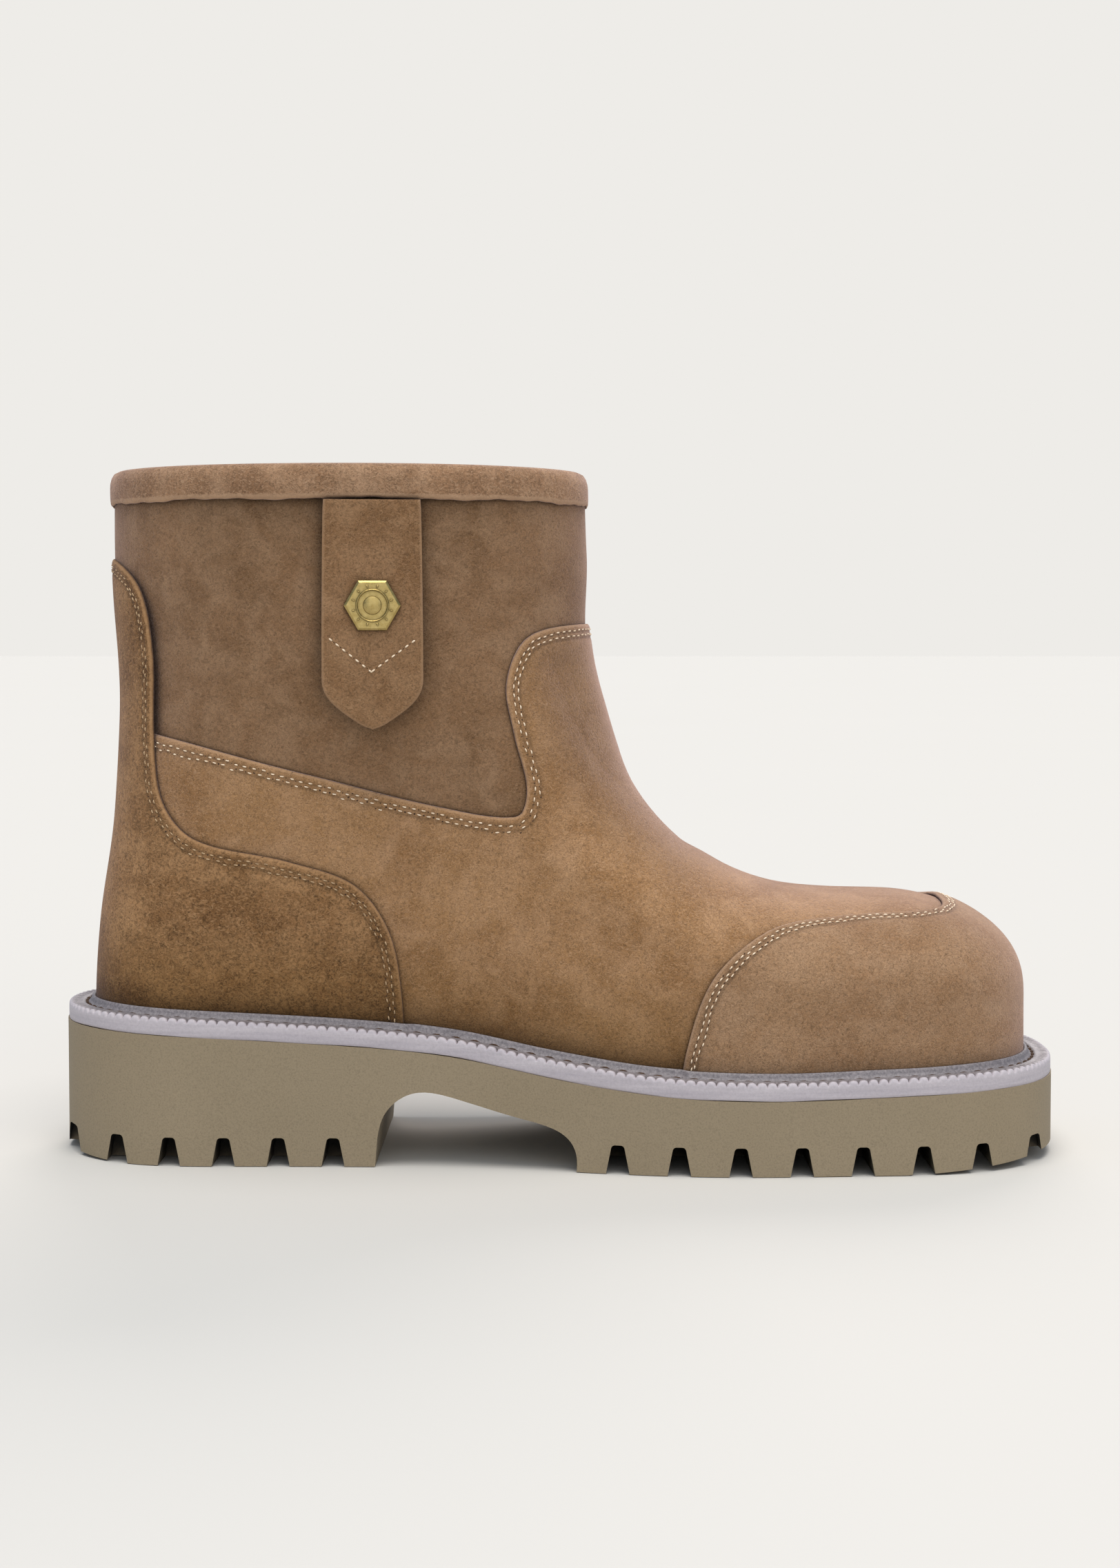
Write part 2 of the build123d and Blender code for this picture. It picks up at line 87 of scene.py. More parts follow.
def through(points, at):
    """Values at many places of a smooth curve through (place, value) points."""
    table = np.array(sorted(points), float)
    place, value = table[:, 0], table[:, 1]
    ahead = np.minimum(np.arange(len(place)) + 1, len(place) - 1)
    behind = np.maximum(np.arange(len(place)) - 1, 0)
    slope = (value[ahead] - value[behind]) / (place[ahead] - place[behind])
    at = np.clip(np.asarray(at, float), place[0], place[-1])
    i = np.clip(np.searchsorted(place, at, side="right") - 1, 0, len(place) - 2)
    step = place[i + 1] - place[i]
    t = (at - place[i]) / step
    rise = t * t * (3 - 2 * t)
    bend = step * t * (1 - t) * (slope[i] * (1 - t) - slope[i + 1] * t)
    return value[i] + (value[i + 1] - value[i]) * rise + bend


def line_samples(points, count):
    """Evenly spaced points of the smooth line through the given points."""
    points = np.array(points, float)
    lengths = np.concatenate([[0], np.cumsum(np.hypot(*np.diff(points, axis=0).T))])
    at = np.linspace(0, lengths[-1], count + 1)
    return np.stack([through(list(zip(lengths, points[:, k])), at) for k in (0, 1)], axis=1)


def signed_gap(line, x, z):
    """Distance of side-view points from a line, above zero on its left."""
    x, z = np.broadcast_arrays(np.asarray(x, float), np.asarray(z, float))
    best = np.full(x.shape, 1e9)
    sign = np.ones(x.shape)
    for (ax, az), (bx, bz) in zip(line[:-1], line[1:]):
        ux, uz = bx - ax, bz - az
        t = np.clip(((x - ax) * ux + (z - az) * uz) / (ux * ux + uz * uz), 0, 1)
        away = np.hypot(x - ax - t * ux, z - az - t * uz)
        closer = away < best
        best = np.where(closer, away, best)
        sign = np.where(closer, np.where(ux * (z - az) - uz * (x - ax) > 0, 1, -1), sign)
    return best * sign


FRONT_LINE = line_samples(FRONT, 80)


def ease(start, end, x):
    t = np.clip((np.asarray(x, float) - start) / (end - start), 0, 1)
    return t * t * (3 - 2 * t)


def middle(x):
    """Y of the middle of the boot."""
    return SIDE_SHIFT + TOE_SHIFT * ease(30, 140, x)


def half_width(x, z, side, depth, on_ground=False):
    """Half width of the upper at places of the side view, at a depth under the vamp's face."""
    x, z, side = np.broadcast_arrays(np.asarray(x, float), np.asarray(z, float), np.asarray(side, float))
    front = 999 if on_ground else signed_gap(FRONT_LINE, x, z)
    power = 2.1 + 0.35 * ease(40, 95, x)
    closings = [
        1 - (front - depth) / (through(FRONT_ROUND, z) - depth),
        1 - (x - through(BACK, z) - depth) / (through(BACK_ROUND, z) - depth),
        1 - (TOE_X - depth - x) / (TOE_ROUND - depth),
        0 * x if on_ground else 1 - (z + 80 - depth) / (78 - depth),
    ]
    core = 1 - sum(np.clip(c, 0, None) ** power for c in closings)
    foot = np.where(side < 0, through(OUTER_HALF, x), through(INNER_HALF, x))
    wide = foot + (through(SHAFT_HALF, z) - foot) * ease(48, 135, z)
    return (wide - depth) * np.clip(core, 0, None) ** (1 / power)


def face_grid(depth, coarse=1, top=BOOT_TOP - 0.5, step=0.9, around=420):
    """Points of the upper's face at one depth: closed sections that fan out from above the instep."""
    coarse *= 1
    around //= coarse
    levels = np.arange(top, FAN[1] + 0.1, -step * coarse)
    turns = np.radians(np.linspace(180, 270, 280 // coarse))
    run = TOE_X - depth - 0.01 - FAN[0]
    uprights = FAN[0] + run * np.sin(np.radians(np.linspace(0, 90, 100 // coarse)[1:]))
    starts = [(FAN[0], z) for z in levels] + [FAN] * len(turns) + [(x, FAN[1]) for x in uprights]
    ways = [(-1, 0)] * len(levels) + [(math.cos(a), math.sin(a)) for a in turns]
    ways += [(0, -1)] * len(uprights)
    starts, ways = np.array(starts, float), np.array(ways, float)
    reach = np.arange(0, 340, 1.0)

    def inside(t):
        return half_width(starts[:, :1] + ways[:, :1] * t, starts[:, 1:] + ways[:, 1:] * t, -1, depth) > 0

    hits = inside(reach[None, :])
    first = reach[hits.argmax(1)]
    last = reach[hits.shape[1] - 1 - hits[:, ::-1].argmax(1)]
    ends = []
    for inner, outer in ((first, first - 1), (last, last + 1)):
        inner, outer = inner[:, None], outer[:, None]
        for _ in range(22):
            mid = (inner + outer) / 2
            ok = inside(mid)
            inner, outer = np.where(ok, mid, inner), np.where(ok, outer, mid)
        ends.append(inner)
    near, far = ends
    turn = 2 * np.pi * np.arange(around) / around
    t = near + (far - near) * (1 - np.cos(turn)) / 2
    x, z = starts[:, :1] + ways[:, :1] * t, starts[:, 1:] + ways[:, 1:] * t
    side = np.where(np.arange(around) < around / 2, -1, 1)[None, :] + 0 * x
    y = middle(x) + side * half_width(x, z, side, depth)
    tip = np.stack([x[-1] + 0.01, middle(x[-1]), z[-1]], axis=-1)[None]
    return np.concatenate([np.stack([x, y, z], axis=-1), tip])


def grid_normals(points):
    """Outward unit normals of a grid of closed sections."""
    along = np.gradient(points, axis=0)
    around = np.roll(points, -1, axis=1) - np.roll(points, 1, axis=1)
    normals = np.cross(around, along)
    normals /= np.linalg.norm(normals, axis=-1, keepdims=True) + 1e-12
    centre = points.mean(axis=1, keepdims=True)
    normals *= np.sign(((points - centre) * normals).sum(-1).mean())
    normals[-1] = (1, 0, 0)
    return normals


def edge_3d(curve, depth):
    """The run of a panel's edge over the upper, once on the outer side and once on the inner side."""
    runs = []
    flat = line_samples(curve, 6000)
    for side in (-1, 1):
        wide = half_width(flat[:, 0], flat[:, 1], side, depth)
        keep = (wide > 0) & (flat[:, 1] > through(WELT_LINE, flat[:, 0]))
        on = np.stack([flat[:, 0], middle(flat[:, 0]) + side * wide, flat[:, 1]], axis=1)[keep]
        runs.append(on)
    return runs


def nearest_tree(points):
    """A search tree that finds the nearest of many points."""
    tree = kdtree.KDTree(len(points))
    for k, p in enumerate(points):
        tree.insert(p, k)
    tree.balance()
    return tree


def resample(points, step):
    lengths = np.concatenate([[0], np.cumsum(np.linalg.norm(np.diff(points, axis=0), axis=1))])
    count = max(int(lengths[-1] / step), 2)
    at = np.linspace(0, lengths[-1], count + 1)
    return np.stack([np.interp(at, lengths, points[:, k]) for k in range(3)], axis=1)


# ---- making meshes -----------------------------------------------------------------------
def make_object(name, vertices, faces, material, body):
    """A smooth piece from points in millimetres, riding on a CAD body if one is named."""
    mesh = bpy.data.meshes.new(name)
    mesh.from_pydata([tuple(v) for v in np.asarray(vertices, float) * MM], [], [tuple(f) for f in faces])
    mesh.validate()
    bm = bmesh.new()
    bm.from_mesh(mesh)
    bmesh.ops.recalc_face_normals(bm, faces=bm.faces)
    bm.to_mesh(mesh)
    bm.free()
    piece = bpy.data.objects.new(name, mesh)
    SCENE.objects.link(piece)
    mesh.materials.append(material)
    mesh.shade_smooth()
    if body:
        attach(piece, body)
    return piece


def put_attribute(piece, name, values):
    attribute = piece.data.attributes.new(name, "FLOAT", "POINT")
    attribute.data.foreach_set("value", np.asarray(values, np.float32))


def dents(points, seed, size, deep):
    """Soft random hollows, from five crossing waves."""
    rng = np.random.default_rng(seed)
    total = np.zeros(points.shape[:-1])
    for _ in range(5):
        way = rng.normal(size=3)
        way /= np.linalg.norm(way)
        total += np.sin(points @ way * 2 * np.pi / (size * rng.uniform(0.7, 1.5)) + rng.uniform(0, 6.28))
    return deep * total / 5


def panel(name, depth, thick, clip, sewn, material, node, roll=1.4, lift=0.0, ankle_fold=0.0,
          coarse=1):
    """A leather panel cut from the upper's face.

    clip gives how far points are inside the cut shape; sewn lists the three-dimensional runs of
    its sewn edges, where the leather's cut edge rolls down to what it lies on."""
    points = face_grid(depth, coarse)
    normals = grid_normals(points)
    inside = clip(points)
    rows, columns = inside.shape
    index, place, out, faces = {}, [], [], []

    def seam(c):
        """The last row folds flat at the toe's tip, so its two sides share their points."""
        return (c[0], min(c[1], columns - c[1])) if c[0] == rows - 1 else c

    def vertex(c):
        c = seam(c)
        if c not in index:
            index[c] = len(place)
            place.append(points[c])
            out.append(normals[c])
        return index[c]

    def crossing(a, b):
        a, b = seam(a), seam(b)
        key = (a, b) if a < b else (b, a)
        if key not in index:
            t = inside[a] / (inside[a] - inside[b])
            index[key] = len(place)
            place.append(points[a] * (1 - t) + points[b] * t)
            out.append(normals[a] * (1 - t) + normals[b] * t)
        return index[key]

    following = np.roll(inside, -1, axis=1)
    quads = np.stack([inside[:-1], following[:-1], following[1:], inside[1:]])
    for i, j in zip(*np.nonzero(quads.max(axis=0) > 0)):
        i, j = int(i), int(j)
        after_j = (j + 1) % columns
        corners = [(i, j), (i, after_j), (i + 1, after_j), (i + 1, j)]
        loop = []
        for k, c in enumerate(corners):
            after = corners[(k + 1) % 4]
            if inside[c] > 0:
                loop.append(vertex(c))
            if (inside[c] > 0) != (inside[after] > 0):
                loop.append(crossing(c, after))
        loop = list(dict.fromkeys(loop))
        if len(loop) > 2:
            faces.append(loop)
    place, out = np.array(place), np.array(out)
    out /= np.linalg.norm(out, axis=1)[:, None]
    edge = np.full(len(place), 99.0)
    if sewn:
        tree = nearest_tree(np.concatenate(sewn))
        edge = np.array([tree.find(p)[2] for p in place])
    near = np.clip(1 - edge / roll, 0, 1)
    drop = thick * 0.75 * (1 - np.sqrt(1 - near ** 2 * 0.98))
    for groove in (2.35, 4.3):
        drop += 0.22 * np.exp(-((edge - groove) / 0.55) ** 2)
    drop -= dents(place, 7, 46, 0.5)
    if ankle_fold:
        fold = np.abs(signed_gap(ANKLE_FOLD, place[:, 0], place[:, 2]))
        drop += ankle_fold * np.exp(-(fold / 6.5) ** 2) * ease(0, 14, edge)
    drop -= lift * np.abs(out[:, 0]) ** 1.5 * ease(158, 186, place[:, 2])
    outer = place - out * drop[:, None]
    inner = place - out * (thick - dents(place, 7, 46, 0.5))[:, None]
    total = len(outer)
    sides = set()
    for f in faces:
        sides.update(zip(f, f[1:] + f[:1]))
    rim = [(a, b) for a, b in sides if (b, a) not in sides]
    everything = list(faces) + [[v + total for v in reversed(f)] for f in faces]
    everything += [[b, a, a + total, b + total] for a, b in rim]
    piece = make_object(name, np.concatenate([outer, inner]), everything, material, "boot")
    put_attribute(piece, "edge", np.concatenate([edge, edge]))
    # height over the welt line, which the suede turns into painted shade near the welt
    put_attribute(piece, "low", np.tile(place[:, 2] - through(WELT_LINE, place[:, 0]), 2))
    # the crease attribute marks where the suede gets painted shade along the ankle fold
    if ankle_fold:
        put_attribute(piece, "crease", np.tile(np.exp(-(fold / 15) ** 2), 2))
    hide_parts(node)
    return piece


def slab_faces(rows, columns):
    """Faces of a slab between two grids of points: its front, its back and the wall round its rim."""
    total = rows * columns
    faces = []
    for i in range(rows - 1):
        for k in range(columns - 1):
            a = i * columns + k
            faces.append((a, a + 1, a + columns + 1, a + columns))
            faces.append((total + a + columns, total + a + columns + 1, total + a + 1, total + a))
    border = [k for k in range(columns)] + [i * columns + columns - 1 for i in range(1, rows)]
    border += [(rows - 1) * columns + k for k in range(columns - 2, -1, -1)]
    border += [i * columns for i in range(rows - 2, 0, -1)]
    for a, b in zip(border, border[1:] + border[:1]):
        faces.append((b, a, a + total, b + total))
    return faces


def tree_of(piece):
    points = [v.co / MM for v in piece.data.vertices]
    return BVHTree.FromPolygons(points, [tuple(p.vertices) for p in piece.data.polygons])


def bead(length, wide, high):
    """Points and faces of one rounded stitch along X, on Z = 0."""
    rings, around = 5, 8
    verts, faces = [], []
    for i in range(rings):
        u = -1 + 2 * i / (rings - 1)
        swell = math.sqrt(max(1 - abs(u) ** 2.6, 0.02))
        sink = 0.45 * high * u * u
        for k in range(around):
            a = 2 * math.pi * k / around
            y, z = math.cos(a) * wide / 2 * swell, math.sin(a) * high / 2 * swell - sink
            verts.append((u * length / 2, y, z))
    for i in range(rings - 1):
        for k in range(around):
            a, b = i * around + k, i * around + (k + 1) % around
            faces.append((a, b, b + around, a + around))
    faces.append(tuple(range(around))[::-1])
    faces.append(tuple(range((rings - 1) * around, rings * around)))
    return np.array(verts), faces


def place_beads(name, places, size, material, body):
    """One object holding a bead at each (point, direction, normal)."""
    verts, faces = [], []
    shape, shape_faces = bead(*size)
    for point, way, up in places:
        way, up = Vector(way).normalized(), Vector(up).normalized()
        across = up.cross(way).normalized()
        turn = np.array([way, across, up])
        start = len(verts)
        verts.extend(np.asarray(point) + shape @ turn)
        faces.extend([tuple(v + start for v in f) for f in shape_faces])
    return make_object(name, verts, faces, material, body)


# length, width and height of one stitch and of one dark patch of painted needle-hole shade
THREAD_SIZE, HOLE_SIZE = (1.4, 0.44, 0.44), (0.9, 0.5, 0.25)


def stitch_rows(name, piece, run, insets, pitch, visible, thread):
    """Rows of stitches, and dark patches of painted shade for the needle holes between them, that follow a
    panel's sewn edge.
    """
    tree = tree_of(piece)
    rng = np.random.default_rng(len(name))
    threads, holes = [], []
    line = resample(run, pitch)
    ways = np.gradient(line, axis=0)
    edge = nearest_tree(run)
    for row, inset in enumerate(insets):
        for p, way in zip(line, ways):
            way = Vector(way).normalized()
            spot, up, _, _ = tree.find_nearest(Vector(p))
            across = way.cross(up).normalized()
            ahead = [edge.find(tree.find_nearest(spot + across * turn * 5)[0])[2] for turn in (1, -1)]
            if ahead[0] < ahead[1]:
                across = -across
            for half, kind in ((0.0, threads), (0.5, holes)):
                target = spot + across * inset + way * pitch * (half + 0.35 * row)
                seat, up, _, _ = tree.find_nearest(target)
                seat_point = np.array(seat)
                if edge.find(seat)[2] < inset * 0.7 or visible(seat_point) < 0.4:
                    continue
                tilt = way + across * rng.uniform(-0.05, 0.14)
                kind.append((seat + up * (0.1 if kind is threads else -0.08), tilt, up))
    place_beads(name, threads, THREAD_SIZE, thread, "boot")
    # the hole pieces are dark patches of painted needle-hole shade
    place_beads(name + "_hole_shade", holes, HOLE_SIZE, HOLE_SHADE, "boot")


# ---- materials ---------------------------------------------------------------------------
def colour(r, g, b):
    """A screen colour, 0 to 255, as linear light."""
    shares = (c / 255 for c in (r, g, b))
    return tuple(c / 12.92 if c < 0.0405 else ((c + 0.055) / 1.055) ** 2.4 for c in shares) + (1,)


class Shader:
    """A node material with the few nodes that the pieces need."""

    def __init__(self, name, roughness=0.8):
        self.material = bpy.data.materials.new(name)
        self.material.use_nodes = True
        self.nodes = self.material.node_tree.nodes
        self.links = self.material.node_tree.links
        self.bsdf = next(n for n in self.nodes if n.type == "BSDF_PRINCIPLED")
        self.bsdf.inputs["Roughness"].default_value = roughness
        self.place = self.nodes.new("ShaderNodeTexCoord").outputs["Object"]

    def link(self, value, socket):
        if hasattr(value, "links"):
            self.links.new(value, socket)
        else:
            socket.default_value = value

    def stretched(self, x, y, z):
        node = self.nodes.new("ShaderNodeMapping")
        node.inputs["Scale"].default_value = (x, y, z)
        self.links.new(self.place, node.inputs["Vector"])
        return node.outputs["Vector"]

    def noise(self, size, detail=2.0, rough=0.5, bend=0.0, place=None):
        """Noise with features of about a size in millimetres."""
        node = self.nodes.new("ShaderNodeTexNoise")
        node.inputs["Scale"].default_value = 1000 / size
        node.inputs["Detail"].default_value = detail
        node.inputs["Roughness"].default_value = rough
        node.inputs["Distortion"].default_value = bend
        self.links.new(place or self.place, node.inputs["Vector"])
        return node.outputs["Fac"]

    def attribute(self, name):
        node = self.nodes.new("ShaderNodeAttribute")
        node.attribute_name = name
        return node.outputs["Fac"]

    def ramp(self, value, *stops):
        """Colours or greys at (place, value) stops."""
        node = self.nodes.new("ShaderNodeValToRGB")
        points = node.color_ramp.elements
        while len(points) < len(stops):
            points.new(0.5)
        for point, (at, shade) in zip(points, stops):
            point.position = at
            point.color = shade if isinstance(shade, tuple) else (shade, shade, shade, 1)
        self.links.new(value, node.inputs["Fac"])
        return node.outputs["Color"]

    def mix(self, amount, a, b, way="MIX"):
        node = self.nodes.new("ShaderNodeMix")
        node.data_type = "RGBA"
        node.blend_type = way
        self.link(amount, node.inputs["Factor"])
        self.link(a, node.inputs["A"])
        self.link(b, node.inputs["B"])
        return node.outputs["Result"]

    def sum(self, a, b, way="ADD"):
        node = self.nodes.new("ShaderNodeMath")
        node.operation = way
        self.link(a, node.inputs[0])
        self.link(b, node.inputs[1])
        return node.outputs["Value"]

    def hollow(self, reach, darkest, start=0.25, end=0.85, own=False):
        """Painted shade in the hollows: dark where the surface is closed in."""
        node = self.nodes.new("ShaderNodeAmbientOcclusion")
        node.samples = 8
        node.only_local = own
        node.inputs["Distance"].default_value = reach * MM
        return self.ramp(node.outputs["AO"], (start, darkest), (end, 1.0))

    def bump(self, height, depth, strength=1.0):
        node = self.nodes.new("ShaderNodeBump")
        node.inputs["Strength"].default_value = strength
        node.inputs["Distance"].default_value = depth * MM
        self.links.new(height, node.inputs["Height"])
        self.links.new(node.outputs["Normal"], self.bsdf.inputs["Normal"])

    def paint(self, tint):
        self.link(tint, self.bsdf.inputs["Base Color"])

    def rough(self, value):
        self.link(value, self.bsdf.inputs["Roughness"])


def suede(name, base, deep, pale, grain=1.0, sewn=True, low=True, mottle=0.45, fleck=0.62, sheen=0.5):
    """Napped leather: fibre flecks over soft mottling, pale at a raw edge, with painted shade in the sewn
    grooves, near the welt, along the ankle crease and in hollows.
    """
    s = Shader(name)
    large = s.noise(42, 2, 0.5, 0.3)
    middling = s.noise(11, 3, 0.5, 0.6)
    flecks = s.noise(0.8 * grain, 3, 0.75, 1.4)
    fibres = s.noise(1.5 * grain, 2, 0.6, 2.5, s.stretched(1.0, 1.0, 1.7))
    tint = s.mix(s.ramp(large, (0.36, 0.0), (0.64, 1.0)), deep, base)
    tint = s.mix(s.ramp(middling, (0.4, 0.0), (0.7, mottle)), tint, pale)
    dark_flecks = s.ramp(flecks, (0.36, fleck), (0.5, 1.0), (0.64, 1.9 - fleck))
    tint = s.mix(1.0, tint, dark_flecks, "MULTIPLY")
    bright = s.ramp(fibres, (0.5, 0.0), (0.7, 0.65))
    tint = s.mix(bright, tint, pale)
    edge = s.attribute("edge")
    if sewn:
        # painted shade: two dark lines where the sewn grooves run beside the stitched edge
        grooves = s.ramp(s.sum(edge, 10.0, "DIVIDE"),
                         (0.0, 1.0), (0.13, 1.0), (0.185, 0.85), (0.235, 0.68), (0.29, 0.92),
                         (0.35, 0.9), (0.42, 0.7), (0.48, 0.94), (0.6, 1.0))
        tint = s.mix(1.0, tint, grooves, "MULTIPLY")
    raw = s.ramp(s.sum(edge, s.sum(flecks, 0.8, "MULTIPLY"), "SUBTRACT"), (0.05, 0.6), (0.5, 0.0))
    tint = s.mix(raw, tint, pale)
    # painted shade: the leather darkens, browner, the nearer it is to the welt
    if low:
        shade = s.ramp(s.sum(s.attribute("low"), 40.0, "DIVIDE"), (0.0, (0.36, 0.33, 0.25, 1)),
                       (0.08, (0.52, 0.49, 0.4, 1)), (0.3, (0.76, 0.74, 0.66, 1)), (0.75, 1.0))
        tint = s.mix(1.0, tint, shade, "MULTIPLY")
    # painted shade: darker, in mottled patches, along the fold in front of the ankle
    crease_shade_amount = s.sum(s.attribute("crease"), s.sum(middling, 0.35), "MULTIPLY")
    crease_shade = s.ramp(crease_shade_amount, (0.1, 1.0), (0.8, 0.72))
    tint = s.mix(1.0, tint, crease_shade, "MULTIPLY")
    # painted shade: darker where the leather is closed in, as round the pull tab and beside the welt
    s.paint(s.mix(1.0, tint, s.hollow(9, 0.25, 0.3, 0.95), "MULTIPLY"))
    s.rough(s.ramp(middling, (0.3, 0.88), (0.7, 0.97)))
    s.bsdf.inputs["Specular IOR Level"].default_value = 0.15
    s.bsdf.inputs["Sheen Weight"].default_value = sheen
    s.bsdf.inputs["Sheen Roughness"].default_value = 0.4
    s.bsdf.inputs["Sheen Tint"].default_value = colour(235, 205, 200)
    s.bump(s.sum(s.sum(flecks, 0.7, "MULTIPLY"), s.sum(fibres, 0.6, "MULTIPLY")), 0.3)
    return s.material


SHAFT_SUEDE = suede("shaft_suede", colour(134, 102, 73), colour(115, 86, 59), colour(152, 122, 94),
                    mottle=0.6)
VAMP_SUEDE = suede("vamp_suede", colour(154, 117, 79), colour(136, 100, 64), colour(184, 147, 112),
                   sheen=0.8)
COVER_SUEDE = suede("overlay_suede", colour(148, 115, 84), colour(138, 105, 75), colour(170, 139, 110),
                    low=False)
STAY_SUEDE = suede("backstay_suede", colour(136, 101, 66), colour(114, 82, 51), colour(174, 136, 97),
                   1.5, fleck=0.5, sheen=0.2)
BAND_SUEDE = suede("band_suede", colour(147, 113, 84), colour(126, 95, 69), colour(180, 147, 117),
                   1.3, sewn=False, low=False)
TAB_SUEDE = suede("tab_suede", colour(128, 96, 66), colour(117, 86, 57), colour(158, 125, 93),
                  1.1, sewn=False, low=False)


def thread_material(name, deep, pale):
    s = Shader(name, 0.7)
    twist = s.noise(0.5, 2, 0.6)
    s.paint(s.ramp(twist, (0.3, deep), (0.6, pale)))
    s.bump(twist, 0.12)
    return s.material


# painted shade: the dark brown of the shade inside a needle hole, for flat patches laid on the leather
def hole_shade_material():
    s = Shader("needle_hole_shade", 0.95)
    s.paint(s.ramp(s.noise(0.6, 2), (0.3, colour(46, 30, 18)), (0.7, colour(78, 54, 36))))
    s.bump(s.noise(0.5, 2), 0.1)
    return s.material


def rubber_material():
    s = Shader("khaki_rubber")
    fine = s.noise(0.55, 3, 0.75)
    cloud = s.noise(30, 3, 0.5)
    tint = s.mix(cloud, colour(137, 122, 97), colour(148, 133, 109))
    specks = s.ramp(fine, (0.3, 0.8), (0.5, 1.0), (0.75, 1.1))
    tint = s.mix(1.0, tint, specks, "MULTIPLY")
    # painted shade: dark deep inside the tread grooves
    s.paint(s.mix(1.0, tint, s.hollow(12, 0.04, 0.35, 0.85, True), "MULTIPLY"))
    s.rough(s.ramp(cloud, (0.3, 0.62), (0.7, 0.78)))
    s.bsdf.inputs["Specular IOR Level"].default_value = 0.35
    s.bump(fine, 0.05)
    return s.material


def welt_material(name, top, side):
    """Pale streaked side with a darker, scuffed-looking top face; the attribute says which."""
    s = Shader(name)
    streak = s.noise(9, 4, 0.6, 0.2, s.stretched(0.35, 0.35, 5.0))
    fine = s.noise(0.8, 3, 0.7)
    edge_tint = s.mix(s.ramp(streak, (0.3, 0.0), (0.75, 0.7)), side, colour(200, 192, 195))
    face_tint = s.mix(s.ramp(fine, (0.35, 0.0), (0.7, 1.0)), top, colour(140, 133, 134))
    tint = s.mix(s.attribute("top"), edge_tint, face_tint)
    s.paint(s.mix(1.0, tint, s.ramp(fine, (0.25, 0.86), (0.6, 1.0)), "MULTIPLY"))
    s.rough(s.ramp(streak, (0.3, 0.5), (0.7, 0.7)))
    s.bump(s.sum(s.sum(streak, 0.8, "MULTIPLY"), fine), 0.06)
    return s.material


def brass_material():
    s = Shader("badge_brass")
    wear = s.noise(1.6, 4, 0.6)
    brushed = s.noise(0.5, 2, 0.6, 0.0, s.stretched(0.15, 1, 4))
    tint = s.mix(s.ramp(wear, (0.35, 0.0), (0.7, 1.0)), colour(160, 138, 84), colour(186, 164, 108))
    # painted shade: darker in the badge's recesses
    s.paint(s.mix(1.0, tint, s.hollow(0.9, 0.3, 0.5, 0.95), "MULTIPLY"))
    s.bsdf.inputs["Metallic"].default_value = 1.0
    s.rough(s.ramp(s.sum(wear, brushed), (0.8, 0.22), (1.2, 0.4)))
    s.bump(brushed, 0.02)
    return s.material


def plain(name, first, second, size, rough, depth=0.1, metal=0.0):
    """A finish that varies between two colours, for what lies inside the boot."""
    s = Shader(name)
    grain = s.noise(size, 4, 0.6, 0.4)
    s.paint(s.mix(s.ramp(grain, (0.35, 0.0), (0.65, 1.0)), first, second))
    s.rough(s.ramp(grain, (0.3, rough - 0.08), (0.7, rough + 0.05)))
    s.bsdf.inputs["Metallic"].default_value = metal
    s.bump(grain, depth)
    return s.material


THREAD = thread_material("thread", colour(212, 184, 152), colour(244, 224, 196))
TAN_THREAD = thread_material("tan_thread", colour(150, 120, 86), colour(194, 164, 126))
HOLE_SHADE = hole_shade_material()
RUBBER = rubber_material()
WELT = welt_material("grey_welt", colour(104, 98, 101), colour(176, 168, 173))
MIDSOLE = welt_material("pale_midsole", colour(150, 142, 146), colour(170, 162, 168))
BRASS = brass_material()
LINING = plain("lining_leather", colour(176, 150, 118), colour(196, 170, 138), 1.6, 0.75)
TEXTILE = plain("lining_textile", colour(150, 134, 112), colour(172, 156, 134), 1.1, 0.9, 0.2)
FOAM = plain("footbed_foam", colour(60, 56, 52), colour(84, 78, 72), 1.3, 0.9, 0.2)
STEEL = plain("spring_steel", colour(120, 122, 126), colour(150, 152, 156), 2.5, 0.45, 0.03, 1.0)
CAP_STEEL = plain("cap_steel", colour(66, 68, 72), colour(92, 94, 98), 3.0, 0.5, 0.03, 1.0)
CORK = plain("cork", colour(132, 98, 62), colour(176, 138, 92), 2.2, 0.9, 0.3)
BOARD = plain("board", colour(150, 128, 98), colour(170, 148, 116), 2.0, 0.85)
BUMPER = plain("bumper_rubber", colour(36, 36, 36), colour(56, 55, 54), 1.5, 0.8)


# ---- side-view tests for the panels ------------------------------------------------------
EDGES = {name: line_samples(curve, 160) for name, curve in
         (("vamp", VAMP_EDGE), ("stay", BACKSTAY_EDGE), ("toe", TOE_EDGE))}


def in_room(p):
    return np.minimum(p[..., 2] - through(WELT_LINE, p[..., 0]) - 0.1, LAYER_TOP - p[..., 2])


def in_vamp(p):
    return signed_gap(EDGES["vamp"], p[..., 0], p[..., 2])


def in_stay(p):
    return -signed_gap(EDGES["stay"], p[..., 0], p[..., 2])


def in_toe(p):
    return -signed_gap(EDGES["toe"], p[..., 0], p[..., 2])


def joined_run(curve, depth, closed=False):
    outer, inner = edge_3d(curve, depth)
    if np.linalg.norm(outer[0] - inner[0]) < np.linalg.norm(outer[-1] - inner[-1]):
        outer, inner = outer[::-1], inner[::-1]
    run = np.concatenate([outer, inner[::-1]])
    if closed:
        run = np.concatenate([run, run[:1]])
    return resample(run, 0.4)


VAMP_RUN = joined_run(VAMP_EDGE, 0.05, True)
STAY_RUN = joined_run(BACKSTAY_EDGE, -1.7)
TOE_RUN = joined_run(TOE_EDGE, -1.7)

